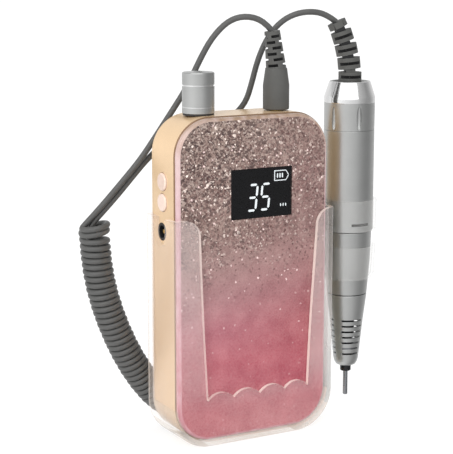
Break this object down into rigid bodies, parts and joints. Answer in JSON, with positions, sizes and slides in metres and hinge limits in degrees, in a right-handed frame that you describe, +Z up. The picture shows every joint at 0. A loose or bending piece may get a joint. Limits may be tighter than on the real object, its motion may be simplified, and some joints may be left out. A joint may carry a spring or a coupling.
{
  "type": "electric nail drill",
  "caption": "Portable nail drill: slim glitter-fronted control box with speed knob, display and side buttons in a clear holster, and a pen-shaped handpiece on a coiled cord.",
  "frame": {"origin": "middle of the holster's flat bottom, on the surface it stands on", "axes": "+Z up, +X to the right seen from the front, -Y out of the front with the display"},
  "size_m": [0.1475, 0.0483, 0.2039],
  "materials": {
    "clear_acrylic": "polished clear acrylic, slightly frosted edges",
    "gold_metal": "satin champagne gold",
    "clear_panel": "polished clear panel",
    "glitter_film": "silver and pink glitter fading to rose",
    "display_black": "smoked black",
    "display_white": "lit white",
    "cover_plastic": "fine satin, champagne",
    "steel": "turned steel",
    "board_green": "solder mask",
    "component_black": "moulded black",
    "cell_wrap": "shrink-wrapped cell",
    "lead_red": "insulated wire",
    "brass": "plated",
    "satin_aluminium": "satin anodised",
    "button_plastic": "pale pearl pink",
    "motor_iron": "plated iron",
    "grey_rubber": "matt dark grey",
    "cord_grey": "satin grey PU jacket"
  },
  "bodies": {
    "holster": {"holster_shell": "clear_acrylic", "handpiece_sleeve": "clear_acrylic"},
    "control_box": {"case_frame": "gold_metal", "front_panel": "clear_panel", "decor_film": "glitter_film", "display_window": "display_black", "display_module": "display_black", "display_figures": "display_white", "back_cover": "cover_plastic", "case_screws": "steel", "main_board": "board_green", "board_screws": "steel", "board_components": "component_black", "battery_cell_1": "cell_wrap", "battery_cell_2": "cell_wrap", "cell_spacers": "cover_plastic", "nickel_strips": "steel", "battery_leads": "lead_red", "speed_pot": "component_black", "pot_nut": "steel", "knob_seal": "grey_rubber", "side_board": "board_green", "tact_switches": "component_black", "charge_jack": "component_black", "charge_pin": "brass", "output_socket": "component_black", "socket_nut": "steel", "panel_leads": "lead_red"},
    "speed_knob": {"pot_shaft": "satin_aluminium", "speed_knob": "satin_aluminium", "knob_setscrew": "steel"},
    "button_upper": {"button_upper": "button_plastic"},
    "button_lower": {"button_lower": "button_plastic"},
    "handpiece": {"barrel": "satin_aluminium", "rear_cap": "satin_aluminium", "inner_housing": "satin_aluminium", "nose_cone": "satin_aluminium", "motor_can": "motor_iron", "motor_magnets": "motor_iron", "end_bell": "component_black", "brushes": "component_black", "terminal_board": "board_green", "rear_bearing": "steel", "front_bearing": "steel", "handpiece_boot": "grey_rubber", "plug_boot": "grey_rubber", "plug_barrel": "steel", "cord_tail_plug": "cord_grey", "cord_tail_handpiece": "cord_grey", "cord_coil": "cord_grey"},
    "lock_collar": {"lock_collar": "satin_aluminium"},
    "spindle": {"motor_shaft": "steel", "rotor": "motor_iron", "commutator": "brass", "coupling": "steel", "spindle": "steel", "collet": "component_black"},
    "bit": {"bit_blank": "steel"}
  },
  "joints": [
    {"name": "box_lift", "type": "slide", "parent": "holster", "child": "control_box", "axis": [0, 0, 1], "range_m": [0, 0.16]},
    {"name": "knob_turn", "type": "hinge", "parent": "control_box", "child": "speed_knob", "pos_m": [-0.0225, 0.001, 0.165], "axis": [0, 0, 1], "range_deg": [0, 300]},
    {"name": "upper_button_press", "type": "slide", "parent": "control_box", "child": "button_upper", "axis": [1, 0, 0], "range_m": [0, 0.0005], "stiffness_N_per_m": 2000},
    {"name": "lower_button_press", "type": "slide", "parent": "control_box", "child": "button_lower", "axis": [1, 0, 0], "range_m": [0, 0.0005], "stiffness_N_per_m": 2000},
    {"name": "handpiece_lift", "type": "slide", "parent": "control_box", "child": "handpiece", "axis": [0, 0, 1], "range_m": [0, 0.12]},
    {"name": "collar_twist", "type": "hinge", "parent": "handpiece", "child": "lock_collar", "pos_m": [0.061, 0, 0.078], "axis": [0, 0, 1], "range_deg": [0, 60]},
    {"name": "spindle_spin", "type": "hinge", "parent": "handpiece", "child": "spindle", "pos_m": [0.061, 0, 0.058], "axis": [0, 0, 1], "continuous": true},
    {"name": "bit_pull", "type": "slide", "parent": "spindle", "child": "bit", "axis": [0, 0, -1], "range_m": [0, 0.025]}
  ]
}
